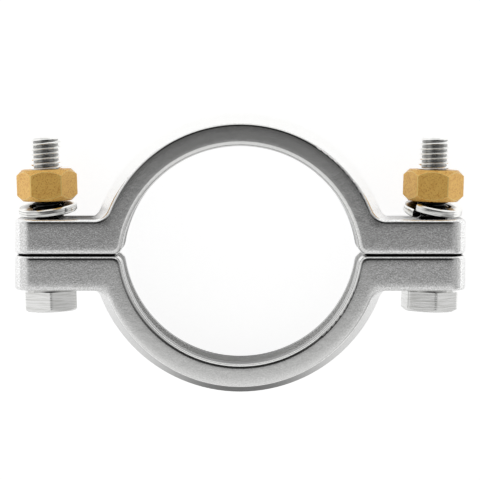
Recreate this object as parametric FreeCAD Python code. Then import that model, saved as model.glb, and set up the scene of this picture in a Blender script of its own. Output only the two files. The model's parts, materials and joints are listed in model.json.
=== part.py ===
import FreeCAD, Part
import math
import os

# Two-bolt clamp for sanitary tube. Two equal cast halves close round a pair of
# ferrule flanges; their inner V groove draws the flanges together as the nuts
# are tightened. The clamp lies on its back: the ring's axis is +Z, the ears
# point along X, and the nuts are towards +Y. The halves meet at Y = 0.
# All sizes are millimetres and degrees.

# Cast half: ring
RING_DEPTH = 19.0
LIP_RADIUS = 29.85
CLOSING_ALLOWANCE = 2.5
FACE_WIDTH = 5.7
CROWN_RISE = 2.5
CROWN_ROUND = 3.0
GROOVE_DEPTH = 2.75
GROOVE_FLOOR_WIDTH = 8.0
GROOVE_WALL_ANGLE = 20.0
GROOVE_FLOOR_ROUND = 0.8

# Cast half: ears and edges
EAR_THICKNESS = 8.95
BOLT_FROM_CROWN = 10.45
EAR_END_FROM_BOLT = 8.35
EAR_CORNER_ROUND = 4.6
EAR_LEAST_FLAT = 0.5
EAR_BLEND = 3.6
SPLIT_CORNER_ROUND = 2.8
OUTER_EDGE_ROUND = 1.0
INNER_EDGE_ROUND = 1.25
HOLE_CLEARANCE = 1.5
HOLE_EDGE_BREAK = 0.4

# Bolts, with a right-hand M8 thread
THREAD_DIAMETER = 8.0
THREAD_PITCH = 1.25
THREAD_LENGTH = 22.0
THREAD_TO_SHANK = 0.15
BOLT_LENGTH = 38.6
BOLT_POINT_BREAK = 0.6
UNDERHEAD_ROUND = 0.35
BOLT_LEAN = 1.8
HEAD_FLATS = 13.0
HEAD_HEIGHT = 5.5
HEAD_FACE_CIRCLE = 12.3
HEAD_CHAMFER_ANGLE = 30.0
SEAT_RING_DIAMETER = 11.8
SEAT_RING_THICKNESS = 0.5
LEFT_HEAD_TURN = 4.0
RIGHT_HEAD_TURN = 10.0

# Nuts
NUT_FLATS = 13.5
NUT_HEIGHT = 7.95
NUT_FACE_CIRCLE = 12.45
NUT_CHAMFER_ANGLE = 45.0
NUT_MOUTH_BREAK = 0.5
LEFT_NUT_TURN = 32.0
RIGHT_NUT_TURN = 24.0

# Split spring washers, not flattened yet
WASHER_BORE = 8.9
WASHER_WIDTH = 2.95
WASHER_THICKNESS = 2.0
WASHER_EDGE_BREAK = 0.3
WASHER_SLIT = 6.0
RIGHT_WASHER_RISE = 1.6
RIGHT_WASHER_SLIT_FROM = -46.0
RIGHT_WASHER_TILT = 11.5
RIGHT_WASHER_HIGH_SIDE = 214.0
LEFT_WASHER_RISE = 0.4
LEFT_WASHER_SLIT_FROM = 172.0
LEFT_WASHER_TILT = 9.0
LEFT_WASHER_HIGH_SIDE = 146.0

# Fits
RUNNING_FIT = 0.05
SEAT_GAP = 0.02
NEAR = 1e-4

# Worked out from the sizes above
face_outer_radius = LIP_RADIUS + FACE_WIDTH
crown_radius = face_outer_radius + CROWN_RISE
bolt_x = crown_radius + BOLT_FROM_CROWN
ear_end_x = bolt_x + EAR_END_FROM_BOLT
arc_centre_y = -CLOSING_ALLOWANCE
middle_z = RING_DEPTH / 2
hole_radius = (THREAD_DIAMETER + HOLE_CLEARANCE) / 2
# height of a thread's flank triangle, and the thread drawn plain at its pitch diameter
thread_triangle = THREAD_PITCH * math.sqrt(3) / 2
pitch_radius = THREAD_DIAMETER / 2 - thread_triangle * 3 / 8
nut_bore_radius = pitch_radius + RUNNING_FIT
shank_radius = (THREAD_DIAMETER - THREAD_TO_SHANK) / 2
washer_outer_radius = WASHER_BORE / 2 + WASHER_WIDTH


def seat_on_leaning_bolt(radius):
    """Where a round of this radius clears the flat ear, however the leaning bolt is turned."""
    lean = math.radians(BOLT_LEAN)
    return (EAR_THICKNESS + SEAT_GAP + radius * math.sin(lean)) / math.cos(lean)


head_seat = seat_on_leaning_bolt(SEAT_RING_DIAMETER / 2)
washer_seat = seat_on_leaning_bolt(washer_outer_radius)


def point(x, y, z):
    return FreeCAD.Vector(x, y, z)


AXIS_X = point(1, 0, 0)
AXIS_Y = point(0, 1, 0)
AXIS_Z = point(0, 0, 1)
ORIGIN = point(0, 0, 0)


def face_from(edges):
    return Part.Face(Part.Wire(edges))


def lines_through(corners):
    closed = corners + [corners[0]]
    return [Part.makeLine(a, b) for a, b in zip(closed, closed[1:])]


def arc_edge(start, middle, end):
    return Part.Arc(start, middle, end).toShape()


def turned_about_y(radius_height_pairs):
    """A solid turned about the Y axis from its half section, as (radius, height) pairs."""
    corners = [point(radius, height, 0) for radius, height in radius_height_pairs]
    return face_from(lines_through(corners)).revolve(ORIGIN, AXIS_Y, 360)


def edge_middle(edge):
    return edge.valueAt((edge.FirstParameter + edge.LastParameter) / 2)


def radius_in_half(place):
    """Distance of a point from the axis of its half's arc."""
    return math.hypot(place.x, place.y - arc_centre_y)


# Cast half

def ring_blank():
    """The half ring with its two-sided draft and rounded crown, not bored yet."""
    slope = math.atan2(CROWN_RISE, middle_z)
    crown_centre = crown_radius - CROWN_ROUND
    tangent_r = crown_centre + CROWN_ROUND * math.cos(slope)
    tangent_z = CROWN_ROUND * math.sin(slope)
    # the flank starts a little further out, so that the rounded crown keeps its height
    flank_foot = tangent_r - (middle_z - tangent_z) * math.tan(slope)
    foot_front = point(flank_foot, 0, RING_DEPTH)
    foot_back = point(flank_foot, 0, 0)
    high_front = point(tangent_r, 0, middle_z + tangent_z)
    high_back = point(tangent_r, 0, middle_z - tangent_z)
    crown = point(crown_radius, 0, middle_z)
    section = [
        Part.makeLine(ORIGIN, foot_back),
        Part.makeLine(foot_back, high_back),
        arc_edge(high_back, crown, high_front),
        Part.makeLine(high_front, foot_front),
        Part.makeLine(foot_front, point(0, 0, RING_DEPTH)),
        Part.makeLine(point(0, 0, RING_DEPTH), ORIGIN),
    ]
    disc = face_from(section).revolve(ORIGIN, AXIS_Z, 360)
    disc.translate(point(0, arc_centre_y, 0))
    above = Part.makeBox(4 * crown_radius, 2 * crown_radius, RING_DEPTH, point(-2 * crown_radius, 0, 0))
    return disc.common(above)


def ear_bar():
    """One flat bar that becomes both ears, its ends rounded in plan."""
    bar = Part.makeBox(2 * ear_end_x, EAR_THICKNESS, RING_DEPTH, point(-ear_end_x, 0, 0))
    upright = [edge for edge in bar.Edges if edge.BoundBox.YLength > EAR_THICKNESS / 2]
    corner = min(EAR_CORNER_ROUND, middle_z - EAR_LEAST_FLAT, EAR_END_FROM_BOLT)
    return bar.makeFillet(corner, upright)


def blend_edges(blank):
    """The edges where the ring's outside runs down on to the top of the ears."""
    found = []
    for edge in blank.Edges:
        box = edge.BoundBox
        middle = edge_middle(edge)
        level = box.YLength < NEAR and abs(middle.y - EAR_THICKNESS) < NEAR
        if level and box.ZLength > NEAR and abs(middle.x) < crown_radius:
            found.append(edge)
    return found


def inner_outline():
    """The bore of a half in plan, with its rounded corners at the split."""
    corner_arm = LIP_RADIUS + SPLIT_CORNER_ROUND
    corner_x = math.sqrt(corner_arm ** 2 - (SPLIT_CORNER_ROUND - arc_centre_y) ** 2)
    corner_y = SPLIT_CORNER_ROUND
    towards = math.atan2(corner_y - arc_centre_y, corner_x)
    touch_x = LIP_RADIUS * math.cos(towards)
    touch_y = arc_centre_y + LIP_RADIUS * math.sin(towards)
    # middle of the corner's arc, half way between its two ends
    half_way = (towards + math.pi + 1.5 * math.pi) / 2
    turn_x = corner_x + SPLIT_CORNER_ROUND * math.cos(half_way)
    turn_y = corner_y + SPLIT_CORNER_ROUND * math.sin(half_way)
    crown_point = point(0, arc_centre_y + LIP_RADIUS, 0)
    below = -SPLIT_CORNER_ROUND
    return [
        arc_edge(point(touch_x, touch_y, 0), crown_point, point(-touch_x, touch_y, 0)),
        arc_edge(point(-touch_x, touch_y, 0), point(-turn_x, turn_y, 0), point(-corner_x, 0, 0)),
        Part.makeLine(point(-corner_x, 0, 0), point(-corner_x, below, 0)),
        Part.makeLine(point(-corner_x, below, 0), point(corner_x, below, 0)),
        Part.makeLine(point(corner_x, below, 0), point(corner_x, 0, 0)),
        arc_edge(point(corner_x, 0, 0), point(turn_x, turn_y, 0), point(touch_x, touch_y, 0)),
    ]


def rim_edges(body, outside):
    """The rim that runs round both flat faces and the ear ends, outside or inside."""
    between = (LIP_RADIUS + face_outer_radius) / 2
    found = []
    for edge in body.Edges:
        box = edge.BoundBox
        middle = edge_middle(edge)
        on_flat_face = box.ZLength < NEAR and min(middle.z, RING_DEPTH - middle.z) < NEAR
        on_ear_end = box.YLength < NEAR and abs(middle.x) > bolt_x
        if not (on_flat_face or on_ear_end):
            continue
        if abs(middle.x) > bolt_x or box.YLength < NEAR:
            is_outside = middle.y > EAR_THICKNESS / 2
        else:
            is_outside = radius_in_half(middle) > between
        if is_outside == outside:
            found.append(edge)
    return found


def groove_cutter():
    """The V groove, turned about the axis of the half's arc."""
    floor_radius = LIP_RADIUS + GROOVE_DEPTH
    start_radius = LIP_RADIUS - GROOVE_DEPTH
    floor_half = GROOVE_FLOOR_WIDTH / 2
    mouth_half = floor_half + (floor_radius - start_radius) * math.tan(math.radians(GROOVE_WALL_ANGLE))
    section = face_from(lines_through([
        point(start_radius, 0, middle_z - mouth_half),
        point(floor_radius, 0, middle_z - floor_half),
        point(floor_radius, 0, middle_z + floor_half),
        point(start_radius, 0, middle_z + mouth_half),
    ]))
    ring = section.revolve(ORIGIN, AXIS_Z, 360)
    floor = [edge for edge in ring.Edges
             if abs(edge.BoundBox.XMax - floor_radius) < NEAR and edge.BoundBox.ZLength < NEAR]
    ring = ring.makeFillet(GROOVE_FLOOR_ROUND, floor)
    ring.translate(point(0, arc_centre_y, 0))
    return ring


def bolt_hole(x):
    """A clearance hole through the ear with its edges broken."""
    over = HOLE_EDGE_BREAK
    wide = hole_radius + over
    hole = turned_about_y([
        (0, -over), (wide + over, -over), (hole_radius, over), (hole_radius, EAR_THICKNESS - over),
        (wide + over, EAR_THICKNESS + over), (0, EAR_THICKNESS + over),
    ])
    hole.translate(point(x, 0, middle_z))
    return hole


def cast_half():
    blank = ring_blank().fuse(ear_bar()).removeSplitter()
    blank = blank.makeFillet(EAR_BLEND, blend_edges(blank))
    bore = face_from(inner_outline()).extrude(point(0, 0, RING_DEPTH))
    body = blank.cut(bore)
    body = body.makeFillet(OUTER_EDGE_ROUND, rim_edges(body, True))
    body = body.makeFillet(INNER_EDGE_ROUND, rim_edges(body, False))
    body = body.cut(groove_cutter())
    for x in (-bolt_x, bolt_x):
        body = body.cut(bolt_hole(x))
    return body


# Hex pieces, modelled about the Y axis

def hex_prism(flats, low, high, turn):
    """A hexagonal bar along Y, one corner at +Z turned by an angle towards +X."""
    corner_radius = flats / math.sqrt(3)
    corners = []
    for step in range(6):
        angle = math.radians(turn + 60 * step)
        corners.append(point(corner_radius * math.sin(angle), low, corner_radius * math.cos(angle)))
    return face_from(lines_through(corners)).extrude(point(0, high - low, 0))


def chamfer_height(flats, face_circle, angle):
    """How far down the corners of a hexagon its end chamfer reaches."""
    return (flats / math.sqrt(3) - face_circle / 2) * math.tan(math.radians(angle))


def bolt(head_turn):
    """A hex head bolt: head below, thread end above, plain where its thread is."""
    corner_radius = HEAD_FLATS / math.sqrt(3)
    under = -head_seat
    hex_top = under - SEAT_RING_THICKNESS
    bottom = hex_top - HEAD_HEIGHT + SEAT_RING_THICKNESS
    chamfer = chamfer_height(HEAD_FLATS, HEAD_FACE_CIRCLE, HEAD_CHAMFER_ANGLE)
    head = hex_prism(HEAD_FLATS, bottom, hex_top, head_turn)
    envelope = turned_about_y([
        (0, bottom), (HEAD_FACE_CIRCLE / 2, bottom), (corner_radius, bottom + chamfer),
        (corner_radius, hex_top), (0, hex_top),
    ])
    head = head.common(envelope)
    point_y = under + BOLT_LENGTH
    thread_y = point_y - THREAD_LENGTH
    thread_step = shank_radius - pitch_radius
    stem = turned_about_y([
        (0, hex_top), (SEAT_RING_DIAMETER / 2, hex_top), (SEAT_RING_DIAMETER / 2, under),
        (shank_radius + UNDERHEAD_ROUND, under), (shank_radius, under + UNDERHEAD_ROUND),
        (shank_radius, thread_y), (pitch_radius, thread_y + thread_step),
        (pitch_radius, point_y - BOLT_POINT_BREAK), (pitch_radius - BOLT_POINT_BREAK, point_y), (0, point_y),
    ])
    return head.fuse(stem).removeSplitter()


def nut_envelope(low):
    """What a nut sweeps as it turns: chamfered and countersunk at both ends, from a height up."""
    corner_radius = NUT_FLATS / math.sqrt(3)
    high = low + NUT_HEIGHT
    chamfer = chamfer_height(NUT_FLATS, NUT_FACE_CIRCLE, NUT_CHAMFER_ANGLE)
    mouth = nut_bore_radius + NUT_MOUTH_BREAK
    return turned_about_y([
        (nut_bore_radius, low + NUT_MOUTH_BREAK), (mouth, low), (NUT_FACE_CIRCLE / 2, low),
        (corner_radius, low + chamfer), (corner_radius, high - chamfer), (NUT_FACE_CIRCLE / 2, high),
        (mouth, high), (nut_bore_radius, high - NUT_MOUTH_BREAK),
    ])


def nut(turn, low):
    """A tall hex nut that starts at a height on its bolt."""
    return hex_prism(NUT_FLATS, low, low + NUT_HEIGHT, turn).common(nut_envelope(low))


# Split spring washers, modelled about the Y axis

def washer_section(radius):
    """The section of the washer's wire at the start of its helix, its corners broken."""
    half_width = WASHER_WIDTH / 2
    half_height = WASHER_THICKNESS / 2
    block = face_from(lines_through([
        point(radius - half_width, 0, -half_height), point(radius + half_width, 0, -half_height),
        point(radius + half_width, 0, half_height), point(radius - half_width, 0, half_height),
    ]))
    bar = block.extrude(AXIS_Y)
    long_edges = [edge for edge in bar.Edges if edge.BoundBox.YLength > NEAR]
    bar = bar.makeChamfer(WASHER_EDGE_BREAK, long_edges)
    end = [face for face in bar.Faces if face.BoundBox.YMax < NEAR]
    return end[0].OuterWire


def spring_washer(rise, slit_from):
    """A left-hand turn of wire that falls from its high end, seen from the nut."""
    radius = (WASHER_BORE + WASHER_WIDTH) / 2
    turn = 1 - WASHER_SLIT / 360
    helix = Part.makeHelix(rise / turn, rise, radius, 0, True)
    wire = Part.Wire(helix.Edges)
    coil = wire.makePipeShell([washer_section(radius)], True, True)
    # stand the helix along Y, its high end just past the slit
    coil.rotate(ORIGIN, AXIS_X, -90)
    coil.rotate(ORIGIN, AXIS_Y, slit_from - 90)
    return coil


def gap_to_plate(shape, base):
    """The true distance along Y from a shape to a flat plate, 1 thick, above or below it."""
    reach = shape.BoundBox.DiagonalLength
    plate = Part.makeBox(2 * reach, 1, 2 * reach, point(-reach, base, -reach))
    return shape.distToShape(plate)[0]


def lowest_on_y(shape):
    level = shape.BoundBox.YMin - 1
    return level + gap_to_plate(shape, level - 1)


def highest_on_y(shape):
    level = shape.BoundBox.YMax + 1
    return level - gap_to_plate(shape, level)


def tilted_washer(coil, angle, high_side):
    """Tips a washer, so that its side at high_side stands up towards the nut."""
    side = math.radians(high_side)
    hinge_line = point(math.cos(side), 0, -math.sin(side))
    coil.rotate(ORIGIN, hinge_line, -angle)
    return coil


def seated_on_ear(coil):
    seated = coil.copy()
    seated.translate(point(0, washer_seat - lowest_on_y(coil), 0))
    return seated


def nut_start(washer):
    """How low a nut can start above its washer, whichever way the nut is turned."""
    level = highest_on_y(washer) + SEAT_GAP
    room = washer.distToShape(nut_envelope(level))[0] - SEAT_GAP
    while room > NEAR:
        level -= room
        room = washer.distToShape(nut_envelope(level))[0] - SEAT_GAP
    return level


def on_bolt_axis(piece, side):
    """Moves a piece from the Y axis to the left (-1) or right (+1) bolt's leaning axis."""
    placed = piece.copy()
    placed.rotate(ORIGIN, AXIS_Z, -side * BOLT_LEAN)
    placed.translate(point(side * bolt_x, 0, middle_z))
    return placed


def build():
    half = cast_half()
    other = half.copy()
    other.rotate(point(0, 0, middle_z), AXIS_Z, 180)
    left_coil = tilted_washer(
        spring_washer(LEFT_WASHER_RISE, LEFT_WASHER_SLIT_FROM), LEFT_WASHER_TILT, LEFT_WASHER_HIGH_SIDE)
    right_coil = tilted_washer(
        spring_washer(RIGHT_WASHER_RISE, RIGHT_WASHER_SLIT_FROM), RIGHT_WASHER_TILT, RIGHT_WASHER_HIGH_SIDE)
    left_washer = seated_on_ear(left_coil)
    right_washer = seated_on_ear(right_coil)
    left_nut = nut(LEFT_NUT_TURN, nut_start(left_washer))
    right_nut = nut(RIGHT_NUT_TURN, nut_start(right_washer))
    return {
        "upper_half": half,
        "lower_half": other,
        "left_bolt": on_bolt_axis(bolt(LEFT_HEAD_TURN), -1),
        "right_bolt": on_bolt_axis(bolt(RIGHT_HEAD_TURN), 1),
        "left_nut": on_bolt_axis(left_nut, -1),
        "right_nut": on_bolt_axis(right_nut, 1),
        "left_lock_washer": on_bolt_axis(left_washer, -1),
        "right_lock_washer": on_bolt_axis(right_washer, 1),
    }


os.makedirs("parts", exist_ok=True)
for name, shape in build().items():
    print(name, "valid", shape.isValid(), "solids", len(shape.Solids), "volume", round(shape.Volume, 1))
    shape.exportStep(os.path.join("parts", name + ".step"))
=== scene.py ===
# %% [markdown]
# Two-bolt clamp, dressed for its picture.
# The clamp closes round two joined tube ferrules. Two cast steel halves meet at their ears,
# and a bolt, a split spring washer and a tall brass nut pull each pair of ears together.
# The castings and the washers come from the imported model, because their shapes are exact
# there. This file gives every surface its finish, and models the bolts and nuts again with
# real threads, which a plain solid leaves out.

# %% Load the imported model
import json
import math

import bmesh
import bpy
from mathutils import Euler, Matrix, Vector


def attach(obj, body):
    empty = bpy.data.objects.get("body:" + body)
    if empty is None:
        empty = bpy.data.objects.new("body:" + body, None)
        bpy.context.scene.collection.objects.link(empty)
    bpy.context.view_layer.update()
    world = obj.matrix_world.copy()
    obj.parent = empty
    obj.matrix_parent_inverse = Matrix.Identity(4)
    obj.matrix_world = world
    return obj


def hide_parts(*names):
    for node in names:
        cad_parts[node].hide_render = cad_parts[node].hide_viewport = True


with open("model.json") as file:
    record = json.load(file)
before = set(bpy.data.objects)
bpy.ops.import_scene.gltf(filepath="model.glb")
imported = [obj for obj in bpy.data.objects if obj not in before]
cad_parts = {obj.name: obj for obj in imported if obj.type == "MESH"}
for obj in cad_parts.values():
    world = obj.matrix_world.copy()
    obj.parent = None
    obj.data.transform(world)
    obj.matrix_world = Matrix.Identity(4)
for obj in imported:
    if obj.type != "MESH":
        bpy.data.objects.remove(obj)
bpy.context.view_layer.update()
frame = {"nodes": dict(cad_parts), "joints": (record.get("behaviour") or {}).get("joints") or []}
MM = 0.001
print("nodes:", ", ".join(sorted(frame["nodes"])))

# %% [markdown]
# The bolts lean outwards by a degree or two, because the washers are not flattened yet.
# A leaning piece is easiest to model upright, about its own Z axis, and then to set down
# with one matrix. The joint that turns a bolt says where its axis runs, so the matrix is
# built from that joint, and the lengths are measured on the plain solids along it.

# %% A working frame on each bolt
SIDES = ("left", "right")
ORIGIN = Vector((0, 0, 0))


def bolt_frame(side):
    """Matrix from a bolt's own upright frame to the clamp's frame."""
    joint = next(j for j in frame["joints"] if j["name"] == side + "_bolt_spin")
    up = Vector(joint["axis"]).normalized()
    across = (Vector((1, 0, 0)) - up * up.x).normalized()
    turn = Matrix((across, up.cross(across), up)).transposed().to_4x4()
    return Matrix.Translation(Vector(joint["pos_m"])) @ turn


def span_along_bolt(node, side):
    """Lowest and highest point of a solid, measured up its bolt."""
    to_bolt = bolt_frame(side).inverted()
    heights = [(to_bolt @ v.co).z for v in frame["nodes"][node].data.vertices]
    return min(heights), max(heights)


def corner_angle(node, side, low, high):
    """Which way a hexagon's corner points, read from the solid's widest points."""
    to_bolt = bolt_frame(side).inverted()
    places = [to_bolt @ v.co for v in frame["nodes"][node].data.vertices]
    band = [p for p in places if low <= p.z <= high]
    widest = max(band, key=lambda p: p.xy.length)
    return math.atan2(widest.y, widest.x)


for side in SIDES:
    low, high = span_along_bolt(side + "_bolt", side)
    print(side, "bolt from %.2f to %.2f mm" % (low / MM, high / MM))

# %% [markdown]
# Turned and threaded pieces are skins that grow loop by loop. One ring of edges is extruded,
# and the new vertices are sent to a new radius and height, as a lathe tool would cut them.
# Because each vertex keeps its own direction, a hexagon can run into a round chamfer, and
# the curved line where the two meet appears by itself.

# %% Growing a skin ring by ring
NEAR = 1e-7


def at_radius(vertex, radius):
    """Moves a vertex straight in or out to a radius about Z."""
    now = vertex.co.xy.length
    vertex.co.x *= radius / now
    vertex.co.y *= radius / now


def grown_ring(bm, ring, radius=None, height=None):
    """Extrudes a ring of edges. Radius and height are numbers or functions of the old radius."""
    made = bmesh.ops.extrude_edge_only(bm, edges=ring)["geom"]
    corners = {item for item in made if isinstance(item, bmesh.types.BMVert)}
    for vertex in corners:
        old = vertex.co.xy.length
        if height is not None:
            vertex.co.z = height(old) if callable(height) else height
        if radius is not None:
            at_radius(vertex, radius(old) if callable(radius) else radius)
    edges = [item for item in made if isinstance(item, bmesh.types.BMEdge)]
    return [edge for edge in edges if set(edge.verts) <= corners]


def marked(ring, layer, value):
    """Writes a number, or a function of the radius, on a ring's vertices. Returns the ring."""
    for vertex in {v for edge in ring for v in edge.verts}:
        vertex[layer] = value(vertex.co.xy.length) if callable(value) else value
    return ring


def open_ring(bm, height):
    """The edges of an open boundary that lie at one height."""
    border = [edge for edge in bm.edges if edge.is_boundary]
    return [edge for edge in border if all(abs(v.co.z - height) < NEAR for v in edge.verts)]


def filled_between(bm, outer, inner):
    """A flat face with a hole in it, between two rings at one height."""
    bmesh.ops.triangle_fill(bm, use_beauty=True, edges=outer + inner, normal=(0, 0, 1))


# %% [markdown]
# A bolt's head and its nut are hexagons whose corners are cut back by a turned cone. The
# outline is a circle of six segments. Its corners get a small round first, as drawn bar has,
# and its flats get many cuts, so that the cone can bend their edges into arcs.

# %% Hexagons with turned chamfers
HEX_CORNER_ROUND = 0.35 * MM
HEX_CORNER_STEPS = 4
FLAT_CUTS = 15


def hex_outline(bm, flats, height, corner):
    """The outline of a hexagon, as edges, with one corner at the angle given."""
    first_corner = math.radians(90)
    place = Matrix.Translation((0, 0, height)) @ Matrix.Rotation(corner - first_corner, 4, "Z")
    circle = bmesh.ops.create_circle(
        bm, cap_ends=True, segments=6, radius=flats / math.sqrt(3), matrix=place)
    rounded = bmesh.ops.bevel(
        bm, geom=circle["verts"], affect="VERTICES", offset=HEX_CORNER_ROUND, offset_type="OFFSET",
        segments=HEX_CORNER_STEPS, profile=0.5, material=-1)
    cap = {face for vertex in rounded["verts"] for face in vertex.link_faces}
    outline = {edge for face in cap for edge in face.edges}
    bmesh.ops.delete(bm, geom=list(cap), context="FACES_ONLY")
    long_edges = [edge for edge in outline if edge.calc_length() > flats / 4]
    cut = bmesh.ops.subdivide_edges(bm, edges=long_edges, cuts=FLAT_CUTS)
    outline.update(item for item in cut["geom"] if isinstance(item, bmesh.types.BMEdge))
    return list(outline)


def cone_drop(face_circle, angle):
    """How far a turned chamfer lies below the end face, at a radius."""
    return lambda radius: max(0.0, radius - face_circle / 2) * math.tan(angle)


# %% [markdown]
# A thread is a small profile, one pitch long, that is spun about the axis and lifted by one
# pitch in each turn. The spin operator takes that lift as a step between its copies. Where
# the copies of one turn meet those of the next, doubled vertices are merged, and the skin is
# one piece. Bolt and nut share the same profile and the same start, so the nut's thread
# stays in step with the bolt's at every turn.

# %% The M8 thread
THREAD_RADIUS = 4.0 * MM
PITCH = 1.25 * MM
THREAD_DEPTH = 0.6134 * PITCH
CREST_FLAT = PITCH / 8
ROOT_FLAT = PITCH / 4
CREST_ROUND = 0.04 * MM
STEPS_PER_TURN = 48


def thread_profile(extra_radius):
    """Points (radius, height) of one pitch, from the middle of a root to the next one."""
    root = THREAD_RADIUS - THREAD_DEPTH + extra_radius
    crest = THREAD_RADIUS + extra_radius
    flank_middle = (root + crest) / 2
    crest_low = (PITCH - CREST_FLAT) / 2
    half = [
        (root, 0.0), (root, ROOT_FLAT / 2), (flank_middle, (ROOT_FLAT / 2 + crest_low) / 2),
        (crest - CREST_ROUND, crest_low - CREST_ROUND / 2), (crest, crest_low + CREST_ROUND),
    ]
    return half + [(radius, PITCH - height) for radius, height in reversed(half)]


def threaded_skin(bm, low, high, extra_radius=0.0):
    """A helical skin about Z, cut off flat at two heights."""
    start = math.floor(low / PITCH) - 2
    turns = math.ceil(high / PITCH) + 1 - start
    profile = thread_profile(extra_radius)
    points = [bm.verts.new((radius, 0, start * PITCH + height)) for radius, height in profile]
    edges = [bm.edges.new(pair) for pair in zip(points, points[1:])]
    bmesh.ops.spin(
        bm, geom=points + edges, cent=ORIGIN, axis=(0, 0, 1), angle=2 * math.pi * turns,
        steps=STEPS_PER_TURN * turns, dvec=(0, 0, PITCH / STEPS_PER_TURN))
    bmesh.ops.remove_doubles(bm, verts=bm.verts[:], dist=NEAR)
    for height, keep_above in ((low, True), (high, False)):
        bmesh.ops.bisect_plane(
            bm, geom=bm.verts[:] + bm.edges[:] + bm.faces[:], dist=1e-8, plane_co=(0, 0, height),
            plane_no=(0, 0, 1), clear_inner=keep_above, clear_outer=not keep_above)


# %% [markdown]
# Every threaded piece goes through the same last steps: normals are made to point outwards,
# the mesh is set down on its bolt, and edges sharper than a set angle stay crisp while the
# rest shade smoothly. The object itself stays at the origin, so its place is in its mesh.

# %% From skin to object
CRISP_ANGLE = math.radians(32)


def finished(bm, name, side, material):
    """Sets a skin down on its bolt and makes it an object."""
    bmesh.ops.recalc_face_normals(bm, faces=bm.faces[:])
    open_edges = sum(1 for edge in bm.edges if not edge.is_manifold)
    mesh = bpy.data.meshes.new(name)
    bm.to_mesh(mesh)
    bm.free()
    mesh.transform(bolt_frame(side))
    mesh.shade_smooth()
    mesh.set_sharp_from_angle(angle=CRISP_ANGLE)
    mesh.materials.append(material)
    piece = bpy.data.objects.new(name, mesh)
    bpy.context.scene.collection.objects.link(piece)
    print(name, len(mesh.polygons), "faces, open edges", open_edges)
    return piece


# %% [markdown]
# Helpers for materials. A material is a small network of nodes, so short functions keep the
# networks readable: one adds a node and sets its inputs, another joins two sockets, and the
# rest build what every metal here needs, such as noise and a bump made from a height.
# Sizes of patterns are written as the real size of one grain, in metres.

# %% Helpers for node networks


def add_node(tree, kind, inputs=None, **settings):
    """Adds a node, with numbers for its inputs by name."""
    node = tree.nodes.new(kind)
    for name, value in settings.items():
        setattr(node, name, value)
    for name, value in (inputs or {}).items():
        node.inputs[name].default_value = value
    return node


def join(tree, source, target):
    tree.links.new(source, target)


def new_metal(name, color, roughness):
    """A metal with an even colour. The caller adds its grain."""
    material = bpy.data.materials.new(name)
    material.use_nodes = True
    tree = material.node_tree
    shader = tree.nodes["Principled BSDF"]
    shader.inputs["Base Color"].default_value = (*color, 1)
    shader.inputs["Metallic"].default_value = 1.0
    shader.inputs["Roughness"].default_value = roughness
    return material, tree, shader


def math_node(tree, operation, first, second=None, third=None):
    """A Math node whose inputs are sockets or numbers. Returns its output."""
    node = add_node(tree, "ShaderNodeMath", operation=operation)
    for socket, value in zip(node.inputs, (first, second, third)):
        if value is None:
            continue
        if isinstance(value, (int, float)):
            socket.default_value = value
        else:
            join(tree, value, socket)
    return node.outputs[0]


def with_bump(tree, shader, height):
    """Bends a metal's reflections by a height in metres."""
    bump = add_node(tree, "ShaderNodeBump", {"Strength": 1.0, "Distance": 1.0})
    join(tree, height, bump.inputs["Height"])
    join(tree, bump.outputs["Normal"], shader.inputs["Normal"])


def grain(tree, size, detail=2.0, stretch=(1, 1, 1)):
    """Noise on the piece's own coordinates, about as coarse as the size given."""
    coordinates = add_node(tree, "ShaderNodeTexCoord")
    mapping = add_node(tree, "ShaderNodeMapping", {"Scale": tuple(s / size for s in stretch)})
    noise = add_node(
        tree, "ShaderNodeTexNoise", {"Scale": 1.0, "Detail": detail, "Roughness": 0.55})
    join(tree, coordinates.outputs["Object"], mapping.inputs["Vector"])
    join(tree, mapping.outputs["Vector"], noise.inputs["Vector"])
    return noise.outputs["Fac"]


# %% [markdown]
# The castings are stainless steel, blasted to a fine satin grain and then lightly polished.
# Polishing rolls each flat face off towards its edges. That is a tenth of a millimetre at
# most, too little to model, but it bends the reflections, so it goes into the bump. Each
# edge is a distance in the plan of the half: to the outside of ring and ears, to the bore
# and the split, and to the end of an ear. Smooth maximum and minimum join ring and ears
# without a seam.

# %% Distances across the castings
LIP_RADIUS, FACE_RADIUS, ARC_CENTRE = 29.85 * MM, 35.55 * MM, 2.5 * MM
EAR_TOP, EAR_END = 8.95 * MM, 56.85 * MM
CORNER_BLEND = 3.0 * MM
EDGE_REACH, EDGE_SLOPE = 3.2 * MM, 0.10
END_REACH, END_SLOPE = 10.0 * MM, 0.05


def length_of(tree, first, second):
    """Length of a vector with two parts at right angles."""
    squares = [math_node(tree, "MULTIPLY", value, value) for value in (first, second)]
    return math_node(tree, "SQRT", math_node(tree, "ADD", *squares))


def soft_step(tree, value, low, high):
    """Rises smoothly from 0 to 1 between two values, or falls where low is the greater."""
    node = add_node(tree, "ShaderNodeMapRange", {"From Min": low, "From Max": high})
    node.interpolation_type = "SMOOTHSTEP"
    join(tree, value, node.inputs["Value"])
    return node.outputs[0]


def object_axes(tree):
    """The x, y and z of a point on the piece, as sockets."""
    coordinates = add_node(tree, "ShaderNodeTexCoord")
    split = add_node(tree, "ShaderNodeSeparateXYZ")
    join(tree, coordinates.outputs["Object"], split.inputs[0])
    return split.outputs


def rolled_off(tree, distance, reach, slope):
    """Height lost near an edge: none further in than the reach, and steepest at the edge."""
    share = add_node(tree, "ShaderNodeMapRange", {"From Min": reach, "From Max": 0.0})
    join(tree, distance, share.inputs["Value"])
    fourth = math_node(tree, "POWER", share.outputs[0], 4.0)
    return math_node(tree, "MULTIPLY", fourth, -slope * reach / 4)


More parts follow.
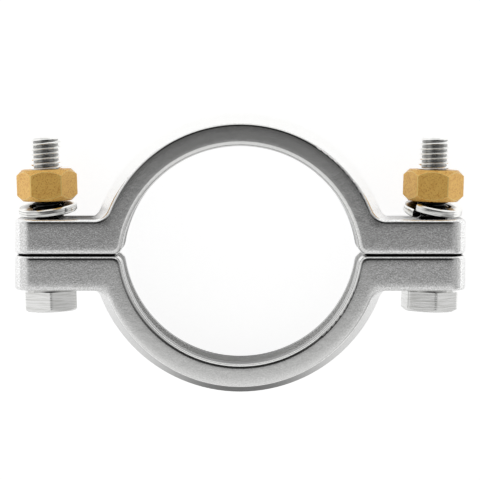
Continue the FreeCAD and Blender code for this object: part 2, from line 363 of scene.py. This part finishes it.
def cast_shape(tree, from_split, from_side, from_arc):
    """The height that polishing takes off the castings near all their edges."""
    outside = math_node(
        tree, "SMOOTH_MAX", math_node(tree, "SUBTRACT", FACE_RADIUS, from_arc),
        math_node(tree, "SUBTRACT", EAR_TOP, from_split), CORNER_BLEND)
    from_bore = math_node(tree, "SUBTRACT", from_arc, LIP_RADIUS)
    inside = math_node(tree, "SMOOTH_MIN", from_bore, from_split, CORNER_BLEND)
    end = math_node(tree, "SUBTRACT", EAR_END, from_side)
    both = math_node(
        tree, "ADD", rolled_off(tree, outside, EDGE_REACH, EDGE_SLOPE),
        rolled_off(tree, inside, EDGE_REACH, EDGE_SLOPE))
    return math_node(tree, "ADD", both, rolled_off(tree, end, END_REACH, END_SLOPE))


# %% [markdown]
# Not every face of a casting is polished. The flat faces where the halves meet are painted
# nearly black, as painted shade, which draws a black line between the ears. So are the seats
# under nut and bolt head, as painted shade under head and washer. The V groove is left matt
# from the casting, and the narrow land in front of it is painted darker, as painted shade for
# the shaded sheet that it mirrors inside the ring. The ring gets more polish than the ears, so
# its grain is lower. Each of these is a place, so each is found from the piece's own coordinates.

# %% Cast steel
CAST_STEEL = (0.86, 0.86, 0.85)
# painted shade, nearly black, for the split faces and for the seats under nut and head
SPLIT_AND_SEAT_SHADE = (0.06, 0.06, 0.06)
MATT_STEEL = (0.90, 0.90, 0.89)
# painted shade on the land in front of the groove, for the shaded sheet it mirrors
LAND_PAINTED_SHADE = (0.36, 0.36, 0.36)
CAST_ROUGHNESS, GROOVE_ROUGHER, GROOVE_LESS_METAL = 0.17, 0.40, 0.85
SPECK, RING_SPECKLED, EAR_SPECKLED = 0.30 * MM, 0.08, 0.26
COARSE_CAST, COARSE_CAST_RISE = 2.5 * MM, 0.012 * MM
FINE_CAST, FINE_CAST_RISE = 0.33 * MM, 0.009 * MM
RING_GRAIN = 0.30
BOLT_X, MIDDLE_Z = 48.5 * MM, 9.5 * MM
# where a place begins and where it is fully reached
EAR_FADE = (24.0 * MM, 38.0 * MM)
SPLIT_FADE = (0.34 * MM, 0.22 * MM)
SEAT_FADE = (7.6 * MM, 6.4 * MM)
SEAT_SKIN = (EAR_TOP - 0.20 * MM, EAR_TOP - 0.05 * MM)
GROOVE_WIDTH_FADE = (5.4 * MM, 5.1 * MM)
GROOVE_RADIUS_FADE = (33.6 * MM, 33.2 * MM)
LAND_RADIUS_FADE = (LIP_RADIUS + 0.35 * MM, LIP_RADIUS + 0.15 * MM)
LAND_HEIGHT_FADE = (18.4 * MM, 18.1 * MM)


def mixed(tree, factor, first, second):
    """One colour or the other, each a socket or an RGB."""
    mix = add_node(tree, "ShaderNodeMix", data_type="RGBA")
    join(tree, factor, mix.inputs["Factor"])
    for socket, value in ((mix.inputs[6], first), (mix.inputs[7], second)):
        if isinstance(value, tuple):
            socket.default_value = (*value, 1)
        else:
            join(tree, value, socket)
    return mix.outputs[2]


def speckled(tree, color, size, strength):
    """A colour with fine lighter and darker specks."""
    darker = tuple(channel * (1 - strength) for channel in color)
    lighter = tuple(min(1.0, channel * (1 + strength)) for channel in color)
    return mixed(tree, soft_step(tree, grain(tree, size), 0.25, 0.75), darker, lighter)


def from_axis(tree, x, z, axis_x):
    """Distance from an axis along Y that runs through the ears' middle depth."""
    return length_of(
        tree, math_node(tree, "SUBTRACT", x, axis_x), math_node(tree, "SUBTRACT", z, MIDDLE_Z))


def cast_steel():
    material, tree, shader = new_metal("cast_steel", CAST_STEEL, CAST_ROUGHNESS)
    x, y, z = object_axes(tree)
    from_split = math_node(tree, "ABSOLUTE", y)
    from_side = math_node(tree, "ABSOLUTE", x)
    from_arc = length_of(tree, x, math_node(tree, "ADD", from_split, ARC_CENTRE))
    shape = cast_shape(tree, from_split, from_side, from_arc)
    coarse = math_node(tree, "MULTIPLY", grain(tree, COARSE_CAST), COARSE_CAST_RISE)
    fine = math_node(tree, "MULTIPLY", grain(tree, FINE_CAST), FINE_CAST_RISE)
    on_ear = soft_step(tree, from_side, *EAR_FADE)
    share = math_node(tree, "MULTIPLY_ADD", on_ear, 1 - RING_GRAIN, RING_GRAIN)
    roughened = math_node(tree, "MULTIPLY", fine, share)
    grained = math_node(tree, "ADD", coarse, roughened)
    with_bump(tree, shader, math_node(tree, "ADD", shape, grained))

    at_split = soft_step(tree, from_split, *SPLIT_FADE)
    from_bolt = from_axis(tree, from_side, z, BOLT_X)
    at_seat = math_node(
        tree, "MULTIPLY", soft_step(tree, from_bolt, *SEAT_FADE),
        soft_step(tree, from_split, *SEAT_SKIN))
    from_middle = math_node(tree, "ABSOLUTE", math_node(tree, "SUBTRACT", z, MIDDLE_Z))
    in_groove = math_node(
        tree, "MULTIPLY", soft_step(tree, from_middle, *GROOVE_WIDTH_FADE),
        soft_step(tree, from_arc, *GROOVE_RADIUS_FADE))
    on_land = math_node(
        tree, "MULTIPLY", soft_step(tree, from_arc, *LAND_RADIUS_FADE),
        soft_step(tree, z, *LAND_HEIGHT_FADE))
    on_ring = speckled(tree, CAST_STEEL, SPECK, RING_SPECKLED)
    color = mixed(tree, on_ear, on_ring, speckled(tree, CAST_STEEL, SPECK, EAR_SPECKLED))
    # painted shade on the land in front of the groove
    color = mixed(tree, on_land, color, LAND_PAINTED_SHADE)
    color = mixed(tree, in_groove, color, MATT_STEEL)
    # painted shade: the split faces and the seats go nearly black
    color = mixed(tree, math_node(tree, "MAXIMUM", at_split, at_seat), color, SPLIT_AND_SEAT_SHADE)
    join(tree, color, shader.inputs["Base Color"])
    metallic = math_node(tree, "MULTIPLY_ADD", in_groove, -GROOVE_LESS_METAL, 1.0)
    roughness = math_node(tree, "MULTIPLY_ADD", in_groove, GROOVE_ROUGHER, CAST_ROUGHNESS)
    join(tree, metallic, shader.inputs["Metallic"])
    join(tree, roughness, shader.inputs["Roughness"])
    return material


cast_steel_finish = cast_steel()
for half in ("upper_half", "lower_half"):
    frame["nodes"][half].data.materials.clear()
    frame["nodes"][half].data.materials.append(cast_steel_finish)

# %% [markdown]
# The bolts' threads are rolled and bright, with painted shade in their roots, and the flats of
# their heads keep the fine lines of the drawn bar, which run across the bolt. How deep a point
# lies in the thread is known while the thread is modelled, so it is kept on the vertices as an
# attribute: 0 on the crests, 1 in the roots, a little under 1 on the shank, which so takes half
# the roots' painted shade, and 2 on the thread below the nut, painted nearly black as shade in the
# gap. The finish reads it to put the painted shade where it belongs.

# %% Bolt steel
THREAD_ATTRIBUTE = "thread_depth"
BOLT_STEEL = (0.90, 0.90, 0.89)
BOLT_STREAK = (0.68, 0.68, 0.66)
# painted shade in the thread roots; the shank takes half of it
ROOT_PAINTED_SHADE = (0.32, 0.32, 0.31)
# painted shade, nearly black, on the thread in the gap below the nut
GAP_PAINTED_SHADE = (0.03, 0.03, 0.03)
# attribute values: the shank's half shade, the roots, and the gap's painted shade
SHANK_HALF_SHADE, ROOT, SHADED_GAP = 0.9, 1.0, 2.0
ROOT_FROM = 0.80
BOLT_ROUGHNESS = 0.14
STREAK, STREAK_RISE, STREAK_STRETCH = 0.30 * MM, 0.024 * MM, (0.05, 1, 0.05)
FINE_BOLT, FINE_BOLT_RISE = 0.35 * MM, 0.004 * MM


def bolt_steel():
    material, tree, shader = new_metal("bolt_steel", BOLT_STEEL, BOLT_ROUGHNESS)
    streaks = grain(tree, STREAK, 3.0, STREAK_STRETCH)
    lines = math_node(tree, "MULTIPLY", streaks, STREAK_RISE)
    fine = math_node(tree, "MULTIPLY", grain(tree, FINE_BOLT), FINE_BOLT_RISE)
    with_bump(tree, shader, math_node(tree, "ADD", lines, fine))
    lined = mixed(tree, soft_step(tree, streaks, 0.40, 0.70), BOLT_STEEL, BOLT_STREAK)
    depth = add_node(tree, "ShaderNodeAttribute", attribute_name=THREAD_ATTRIBUTE)
    # painted shade in the roots, and nearly black painted shade in the gap below the nut
    root_shade = soft_step(tree, depth.outputs["Fac"], ROOT_FROM, ROOT)
    gap_shade = soft_step(tree, depth.outputs["Fac"], ROOT, SHADED_GAP)
    color = mixed(tree, root_shade, lined, ROOT_PAINTED_SHADE)
    join(tree, mixed(tree, gap_shade, color, GAP_PAINTED_SHADE), shader.inputs["Base Color"])
    return material


bolt_finish = bolt_steel()

# %% [markdown]
# The spring washers are wound from bright flat wire. Drawing the wire leaves bright and dull
# lines along it, and the coil keeps them. A tilted washer's lines lie in its own tilted plane,
# so each washer gets its own copy of the finish, whose pattern is turned into that plane and
# stretched along it. The wire's outside is also a little crowned towards its upper edge,
# which the bump adds. The inside of the coil, next to the bolt, is painted dark, as painted
# shade between washer and bolt.

# %% Spring wire
WASHER_STEEL = (0.88, 0.88, 0.86)
WASHER_LINE = (0.42, 0.42, 0.41)
# painted shade inside the coil, next to the bolt
COIL_PAINTED_SHADE = (0.10, 0.09, 0.08)
WIRE_LINE = (8 * MM, 0.38 * MM, 8 * MM)
WIRE_CROWN = 1.7 * MM
WIRE_CROWN_SLOPE = 0.27
WASHER_ROUGHNESS = 0.15
WIRE_LINE_RISE = 0.012 * MM
FINE_WIRE, FINE_WIRE_RISE = 0.4 * MM, 0.005 * MM
COIL_INSIDE = (6.4 * MM, 5.2 * MM)
WASHER_PLACE = {"left": -48.9 * MM, "right": 48.9 * MM}
WASHER_TURN = {"left": (7.5, 0, 6.9), "right": (9.5, 0, -10.7)}
FRONT_HALF_WIDTH, FRONT_FROM_MIDDLE = 2.5 * MM, 6.5 * MM


def washer_turn(side):
    """How a washer is turned about x, y and z, in radians."""
    return tuple(math.radians(angle) for angle in WASHER_TURN[side])


def top_edge(side):
    """How far up its own axis the washer's upper edge lies, at the front of the coil."""
    back = Euler(washer_turn(side)).to_matrix().inverted()
    places = [v.co for v in frame["nodes"][side + "_lock_washer"].data.vertices]
    middle = [p for p in places if abs(p.x - WASHER_PLACE[side]) < FRONT_HALF_WIDTH]
    front = [p for p in middle if p.z > MIDDLE_Z + FRONT_FROM_MIDDLE]
    return max((back @ p).y for p in front)


def in_washer_frame(tree, side, scale):
    """Object coordinates, turned into the washer's own plane and divided by a scale."""
    coordinates = add_node(tree, "ShaderNodeTexCoord")
    turned = add_node(
        tree, "ShaderNodeMapping", {"Rotation": washer_turn(side), "Scale": scale},
        vector_type="TEXTURE")
    join(tree, coordinates.outputs["Object"], turned.inputs["Vector"])
    return turned.outputs["Vector"]


def washer_steel(side):
    material, tree, shader = new_metal(side + "_washer_steel", WASHER_STEEL, WASHER_ROUGHNESS)
    noise = add_node(
        tree, "ShaderNodeTexNoise", {"Scale": 1.0, "Detail": 2.0, "Roughness": 0.5})
    join(tree, in_washer_frame(tree, side, WIRE_LINE), noise.inputs["Vector"])
    lines = noise.outputs["Fac"]
    split = add_node(tree, "ShaderNodeSeparateXYZ")
    join(tree, in_washer_frame(tree, side, (1, 1, 1)), split.inputs[0])
    edge = top_edge(side)
    print(side, "washer's upper edge is at", round(edge / MM, 2), "mm")
    share = add_node(
        tree, "ShaderNodeMapRange", {"From Min": edge - WIRE_CROWN, "From Max": edge})
    join(tree, split.outputs[1], share.inputs["Value"])
    rounded = math_node(tree, "MULTIPLY", share.outputs[0], share.outputs[0])
    crown = math_node(tree, "MULTIPLY", rounded, -WIRE_CROWN_SLOPE * WIRE_CROWN / 2)
    fine = math_node(tree, "MULTIPLY", grain(tree, FINE_WIRE), FINE_WIRE_RISE)
    worked = math_node(tree, "MULTIPLY_ADD", lines, WIRE_LINE_RISE, fine)
    with_bump(tree, shader, math_node(tree, "ADD", worked, crown))
    x, _, z = object_axes(tree)
    from_bolt = from_axis(tree, x, z, WASHER_PLACE[side])
    color = mixed(tree, soft_step(tree, lines, 0.48, 0.66), WASHER_STEEL, WASHER_LINE)
    # painted shade on the inside of the coil
    color = mixed(tree, soft_step(tree, from_bolt, *COIL_INSIDE), color, COIL_PAINTED_SHADE)
    join(tree, color, shader.inputs["Base Color"])
    return material


for side in SIDES:
    washer = frame["nodes"][side + "_lock_washer"]
    washer.data.materials.clear()
    washer.data.materials.append(washer_steel(side))

# %% [markdown]
# The nuts are cast brass, duller and warmer than the steel: mottled, a little pitted, and
# rubbed bright where spanner and fingers reach, along the corners and the edges of the
# chamfers. Where an edge is, the nut's own mesh knows, so the wear is an attribute as well.

# %% Brass
WEAR_ATTRIBUTE = "edge_wear"
BRASS = (1.00, 0.61, 0.15)
BRASS_DARK = (0.74, 0.33, 0.05)
BRASS_WORN = (1.00, 0.66, 0.20)
BRASS_METALLIC = 0.45
BRASS_ROUGHNESS, WORN_SMOOTHER = 0.42, 0.27
BRASS_COAT, BRASS_COAT_ROUGHNESS = 0.15, 0.20
COARSE_BRASS, COARSE_BRASS_RISE = 1.4 * MM, 0.020 * MM
FINE_BRASS, FINE_BRASS_RISE = 0.32 * MM, 0.032 * MM
MOTTLE, MOTTLE_SHARE = 0.36 * MM, 0.8
PATCH, PATCH_SHARE = 1.6 * MM, 0.2
WEAR_PATCH = 0.8 * MM


def brass():
    material, tree, shader = new_metal("nut_brass", BRASS, BRASS_ROUGHNESS)
    coarse = math_node(tree, "MULTIPLY", grain(tree, COARSE_BRASS), COARSE_BRASS_RISE)
    fine = math_node(tree, "MULTIPLY", grain(tree, FINE_BRASS), FINE_BRASS_RISE)
    with_bump(tree, shader, math_node(tree, "ADD", coarse, fine))
    spots = soft_step(tree, grain(tree, MOTTLE), 0.52, 0.62)
    fields = soft_step(tree, grain(tree, PATCH, 3.0), 0.45, 0.65)
    mottle = math_node(tree, "MULTIPLY", spots, MOTTLE_SHARE)
    patches = math_node(tree, "MULTIPLY", fields, PATCH_SHARE)
    color = mixed(tree, math_node(tree, "ADD", mottle, patches), BRASS, BRASS_DARK)
    wear = add_node(tree, "ShaderNodeAttribute", attribute_name=WEAR_ATTRIBUTE)
    uneven = math_node(tree, "ADD", grain(tree, WEAR_PATCH), 0.5)
    patchy = math_node(tree, "MULTIPLY", wear.outputs["Fac"], uneven)
    rubbed = soft_step(tree, patchy, 0.35, 0.85)
    color = mixed(tree, rubbed, color, BRASS_WORN)
    roughness = math_node(tree, "MULTIPLY_ADD", rubbed, -WORN_SMOOTHER, BRASS_ROUGHNESS)
    join(tree, color, shader.inputs["Base Color"])
    join(tree, roughness, shader.inputs["Roughness"])
    shader.inputs["Metallic"].default_value = BRASS_METALLIC
    shader.inputs["Coat Weight"].default_value = BRASS_COAT
    shader.inputs["Coat Roughness"].default_value = BRASS_COAT_ROUGHNESS
    return material


nut_finish = brass()

# %% [markdown]
# A bolt is one closed skin. The thread comes first. Its end is turned to a short cone and a
# low dome, and its lower end runs out to the plain shank. From there the open ring grows down
# the shank, out under the head, and meets the hexagon, which grows down to its own chamfer.

# %% Bolts
THREAD_LENGTH = 22.0 * MM
SHANK_RADIUS = 3.925 * MM
RUN_OUT = 1.6 * MM
BOLT_END_RADIUS = 3.0 * MM
BOLT_END_SLOPE = math.radians(48)
DOME_RINGS = ((2.4 * MM, 0.10 * MM), (1.3 * MM, 0.16 * MM))
BOLT_LENGTH = 38.6 * MM
HEAD_FLATS = 13.0 * MM
HEAD_FACE_CIRCLE = 12.3 * MM
HEAD_CHAMFER = math.radians(30)
SEAT_RING_RADIUS = 5.9 * MM
SEAT_RING_THICKNESS = 0.5 * MM
UNDERHEAD_ROUND = 0.35 * MM
ROUND_STEPS = 4


def turned_end(radius, height, end):
    """Radius after the bolt's end is turned to a cone."""
    return min(radius, BOLT_END_RADIUS + (end - height) / math.tan(BOLT_END_SLOPE))


def run_out(radius, height, start):
    """Radius where the thread fades into the shank."""
    fade = min(1.0, max(0.0, (height - start) / RUN_OUT))
    return SHANK_RADIUS + (radius - SHANK_RADIUS) * fade


def bolt(side):
    bottom, top = span_along_bolt(side + "_bolt", side)
    end = top - DOME_RINGS[-1][1]
    start = top - THREAD_LENGTH
    under = top - BOLT_LENGTH
    seat = under - SEAT_RING_THICKNESS
    bm = bmesh.new()
    threaded_skin(bm, start, end)
    depth = bm.verts.layers.float.new(THREAD_ATTRIBUTE)
    nut_low, _ = span_along_bolt(side + "_nut", side)
    for vertex in bm.verts:
        threaded = vertex.co.xy.length
        radius = run_out(threaded, vertex.co.z, start)
        below_nut = vertex.co.z < nut_low
        # the thread below the nut gets the gap's painted shade
        vertex[depth] = SHADED_GAP if below_nut else (THREAD_RADIUS - radius) / THREAD_DEPTH
        at_radius(vertex, turned_end(radius, vertex.co.z, end))
    dome = marked(open_ring(bm, end), depth, 0.0)
    for radius, rise in DOME_RINGS:
        dome = grown_ring(bm, dome, radius, end + rise)
    bmesh.ops.holes_fill(bm, edges=dome, sides=0)
    shank = grown_ring(bm, open_ring(bm, start), SHANK_RADIUS, under + UNDERHEAD_ROUND)
    # the shank takes half the roots' painted shade
    marked(shank, depth, SHANK_HALF_SHADE)
    for step in range(1, ROUND_STEPS + 1):
        angle = math.radians(90) * step / ROUND_STEPS
        flare = UNDERHEAD_ROUND * (1 - math.cos(angle))
        height = under + UNDERHEAD_ROUND * (1 - math.sin(angle))
        shank = grown_ring(bm, shank, SHANK_RADIUS + flare, height)
    shank = grown_ring(bm, shank, SEAT_RING_RADIUS, under)
    shank = grown_ring(bm, shank, SEAT_RING_RADIUS, seat)
    hexagon = hex_outline(bm, HEAD_FLATS, seat, corner_angle(side + "_bolt", side, bottom, seat))
    filled_between(bm, hexagon, shank)
    drop = cone_drop(HEAD_FACE_CIRCLE, HEAD_CHAMFER)
    rim = grown_ring(bm, hexagon, None, lambda radius: bottom + drop(radius))
    face = grown_ring(bm, rim, HEAD_FACE_CIRCLE / 2, bottom)
    bmesh.ops.holes_fill(bm, edges=face, sides=0)
    return finished(bm, side + "_threaded_bolt", side, bolt_finish)


for side in SIDES:
    piece = bolt(side)
    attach(piece, side + "_bolt")
    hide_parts(side + "_bolt")

# %% [markdown]
# A nut is two skins that meet at its end faces: the hexagon with a chamfer at both ends, and
# the threaded bore, opened by a countersink at both mouths. The bore's thread is the bolt's,
# moved out by a small clearance.

# %% Nuts
NUT_FLATS = 13.5 * MM
NUT_FACE_CIRCLE = 12.45 * MM
NUT_CHAMFER = math.radians(45)
NUT_MOUTH_RADIUS = 4.35 * MM
THREAD_CLEARANCE = 0.06 * MM
WORN_BAND = 0.20 * MM
ROUND_RISE = 0.10 * MM


def worn_at_corner(radius):
    """Wear on the side of the nut: only at the small rounds of its corners."""
    widest = NUT_FLATS / math.sqrt(3)
    return min(1.0, max(0.0, 1 - (widest - radius - ROUND_RISE) / ROUND_RISE))


def down_the_chamfer(radius):
    """One band further in over a nut's chamfer."""
    return max(NUT_FACE_CIRCLE / 2 + WORN_BAND / 4, radius - WORN_BAND)


def nut(side):
    low, high = span_along_bolt(side + "_nut", side)
    bm = bmesh.new()
    wear = bm.verts.layers.float.new(WEAR_ATTRIBUTE)
    threaded_skin(bm, low, high, THREAD_CLEARANCE)
    for vertex in bm.verts:
        from_end = min(vertex.co.z - low, high - vertex.co.z)
        at_radius(vertex, max(vertex.co.xy.length, NUT_MOUTH_RADIUS - from_end))
    mouths = {height: open_ring(bm, height) for height in (low, high)}
    hexagon = hex_outline(bm, NUT_FLATS, low, corner_angle(side + "_nut", side, low, high))
    drop = cone_drop(NUT_FACE_CIRCLE, NUT_CHAMFER)
    lower_side = grown_ring(bm, hexagon, None, lambda r: low + drop(r) + WORN_BAND)
    upper_side = grown_ring(bm, lower_side, None, lambda r: high - drop(r) - WORN_BAND)
    rim = grown_ring(bm, upper_side, None, lambda r: high - drop(r))
    lower = grown_ring(bm, hexagon, down_the_chamfer, lambda r: low + drop(down_the_chamfer(r)))
    upper = grown_ring(bm, rim, down_the_chamfer, lambda r: high - drop(down_the_chamfer(r)))
    faces = {
        low: grown_ring(bm, lower, NUT_FACE_CIRCLE / 2, low),
        high: grown_ring(bm, upper, NUT_FACE_CIRCLE / 2, high),
    }
    for vertex in {v for edge in hexagon for v in edge.verts}:
        vertex.co.z = low + drop(vertex.co.xy.length)
    for ring in (lower_side, upper_side, lower, upper):
        marked(ring, wear, worn_at_corner)
    for ring in (hexagon, rim):
        marked(ring, wear, 1.0)
    for height in (low, high):
        filled_between(bm, faces[height], mouths[height])
    return finished(bm, side + "_threaded_nut", side, nut_finish)


for side in SIDES:
    piece = nut(side)
    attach(piece, side + "_nut")
    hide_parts(side + "_nut")

# %% [markdown]
# The clamp lies on a white sheet. The sheet is mostly its own light for the camera and for
# reflections, so that it reads as white, and partly a plain matt surface, so that it still
# takes a soft shadow. That glow has no shadow of its own, but polished steel mirrors the
# sheet from very near, where the clamp keeps the light away. So reflections see the sheet
# dimmer in a few round places: behind the ears, and much round the ring's low side.

# %% White sheet
SHEET_SIZE = 3.0
SHEET_GLOW = 0.90
SHEET_MIRRORED = 1.0
SHEET_GREY = 0.30
SHEET_BELOW = 0.02 * MM
DIM_CORE = 0.15
# middle x and y and reach along x and y, in mm, and how much of the light is missing
DIM_PLACES = (
    (0, -46, 34, 34, 0.95),
    (0, -80, 160, 110, 0.70),
    (-42, 9.5, 24, 5.5, 0.92),
    (50, 9.5, 22, 5.5, 0.55),
)


def light_left(tree, place):
    """What share of its light the sheet keeps round a dim place."""
    *numbers, missing = place
    middle_x, middle_y, reach_x, reach_y = (number * MM for number in numbers)
    x, y, _ = object_axes(tree)
    across = math_node(tree, "DIVIDE", math_node(tree, "SUBTRACT", x, middle_x), reach_x)
    along = math_node(tree, "DIVIDE", math_node(tree, "SUBTRACT", y, middle_y), reach_y)
    dimmed = soft_step(tree, length_of(tree, across, along), 1.0, DIM_CORE)
    return math_node(tree, "MULTIPLY_ADD", dimmed, -missing, 1.0)


def white_sheet():
    bm = bmesh.new()
    bmesh.ops.create_grid(bm, x_segments=1, y_segments=1, size=SHEET_SIZE / 2)
    mesh = bpy.data.meshes.new("sheet")
    bm.to_mesh(mesh)
    bm.free()
    mesh.transform(Matrix.Translation((0, 0, -SHEET_BELOW)))
    material = bpy.data.materials.new("sheet_white")
    material.use_nodes = True
    tree = material.node_tree
    tree.nodes.clear()
    output = add_node(tree, "ShaderNodeOutputMaterial")
    grey = (SHEET_GREY, SHEET_GREY, SHEET_GREY, 1)
    matt = add_node(tree, "ShaderNodeBsdfDiffuse", {"Color": grey})
    glow = add_node(tree, "ShaderNodeEmission", {"Color": (1, 1, 1, 1)})
    path = add_node(tree, "ShaderNodeLightPath")
    mirrored = math_node(tree, "MULTIPLY", path.outputs["Is Glossy Ray"], SHEET_MIRRORED)
    for place in DIM_PLACES:
        mirrored = math_node(tree, "MULTIPLY", mirrored, light_left(tree, place))
    seen = math_node(tree, "MULTIPLY_ADD", path.outputs["Is Camera Ray"], SHEET_GLOW, mirrored)
    join(tree, seen, glow.inputs["Strength"])
    both = add_node(tree, "ShaderNodeAddShader")
    join(tree, matt.outputs[0], both.inputs[0])
    join(tree, glow.outputs[0], both.inputs[1])
    join(tree, both.outputs[0], output.inputs["Surface"])
    mesh.materials.append(material)
    sheet = bpy.data.objects.new("sheet", mesh)
    bpy.context.scene.collection.objects.link(sheet)
    print("sheet", SHEET_SIZE, "m wide")


white_sheet()

# %% [markdown]
# Metal shows what is round it, so the light is a white tent with one dark opening, through
# which the camera looks. Faces that look straight up mirror the opening and turn grey, rounds
# that look aside mirror the tent and turn white. The tent is drawn on the sky as a ramp of
# brightness along its middle, from the bolt heads' side over the top to the nuts' side. Just
# below the camera the ramp is steep, so a small tilt of a face decides between dark and light.

# %% Light tent
# degrees from straight up, and brightness
TENT_MIDDLE = (
    (-90, 0.75), (-70, 0.95), (-45, 0.95), (-20, 0.92), (-8.5, 0.92), (-6.5, 0.78),
    (-5.0, 0.60), (-4.2, 0.13), (-1.5, 0.12), (8, 0.12), (14, 0.02), (56, 0.02),
    (60, 1.15), (90, 1.15),
)
TENT_LEFT, TENT_RIGHT, TENT_FAR_RIGHT = 1.05, 0.58, 0.88
SIDE_FROM, SIDE_TO = 0.35, 0.85
FAR_FROM = 0.80


def light_tent():
    world = bpy.data.worlds.new("tent")
    bpy.context.scene.world = world
    world.use_nodes = True
    tree = world.node_tree
    tree.nodes.clear()
    output = add_node(tree, "ShaderNodeOutputWorld")
    background = add_node(tree, "ShaderNodeBackground")
    coordinates = add_node(tree, "ShaderNodeTexCoord")
    split = add_node(tree, "ShaderNodeSeparateXYZ")
    join(tree, coordinates.outputs["Generated"], split.inputs[0])
    x, y, z = split.outputs
    angle = math_node(tree, "ARCTAN2", y, z)
    along = math_node(tree, "MULTIPLY_ADD", angle, 1 / (2 * math.pi), 0.5)
    ramp = add_node(tree, "ShaderNodeValToRGB")
    stops = ramp.color_ramp.elements
    stops.remove(stops[0])
    for number, (degrees, level) in enumerate(TENT_MIDDLE):
        position = degrees / 360 + 0.5
        stop = stops[0] if number == 0 else stops.new(position)
        stop.position = position
        stop.color = (level, level, level, 1)
    join(tree, along, ramp.inputs["Fac"])
    to_side = soft_step(tree, math_node(tree, "ABSOLUTE", x), SIDE_FROM, SIDE_TO)
    is_right = math_node(tree, "GREATER_THAN", x, 0.0)
    far = soft_step(tree, x, FAR_FROM, 1.0)
    right = math_node(tree, "MULTIPLY_ADD", far, TENT_FAR_RIGHT - TENT_RIGHT, TENT_RIGHT)
    from_left = math_node(tree, "SUBTRACT", right, TENT_LEFT)
    side = math_node(tree, "MULTIPLY_ADD", is_right, from_left, TENT_LEFT)
    rest = math_node(tree, "SUBTRACT", side, ramp.outputs["Color"])
    level = math_node(tree, "MULTIPLY_ADD", rest, to_side, ramp.outputs["Color"])
    path = add_node(tree, "ShaderNodeLightPath")
    to_white = math_node(tree, "SUBTRACT", 1.0, level)
    strength = math_node(tree, "MULTIPLY_ADD", to_white, path.outputs["Is Camera Ray"], level)
    join(tree, strength, background.inputs["Strength"])
    join(tree, background.outputs[0], output.inputs["Surface"])
    print("tent ramp of", len(TENT_MIDDLE), "stops")


light_tent()

# %% [markdown]
# The camera stands where the photograph's stood: 600 mm from the clamp's front and a little
# towards the nuts, so that the ears' tops and the inside of the lower half just show. A long
# lens keeps both sides of the ring alike.

# %% Camera
CAMERA_PLACE = Vector((0.0, 46.0, 619.0)) * MM
CAMERA_TARGET = Vector((-0.05, 3.91, 19.0)) * MM
CAMERA_LENS, CAMERA_SENSOR = 180.2, 36.0

camera_data = bpy.data.cameras.new("camera")
camera_data.lens = CAMERA_LENS
camera_data.sensor_width = CAMERA_SENSOR
camera = bpy.data.objects.new("camera", camera_data)
bpy.context.scene.collection.objects.link(camera)
look = (CAMERA_TARGET - CAMERA_PLACE).normalized()
side_way = look.cross(Vector((0, 1, 0))).normalized()
turn = Matrix((side_way, side_way.cross(look), -look)).transposed()
camera.matrix_world = Matrix.Translation(CAMERA_PLACE) @ turn.to_4x4()
bpy.context.scene.camera = camera
bpy.context.scene.view_settings.view_transform = "Standard"
print("camera at", tuple(round(c / MM) for c in CAMERA_PLACE), "mm")
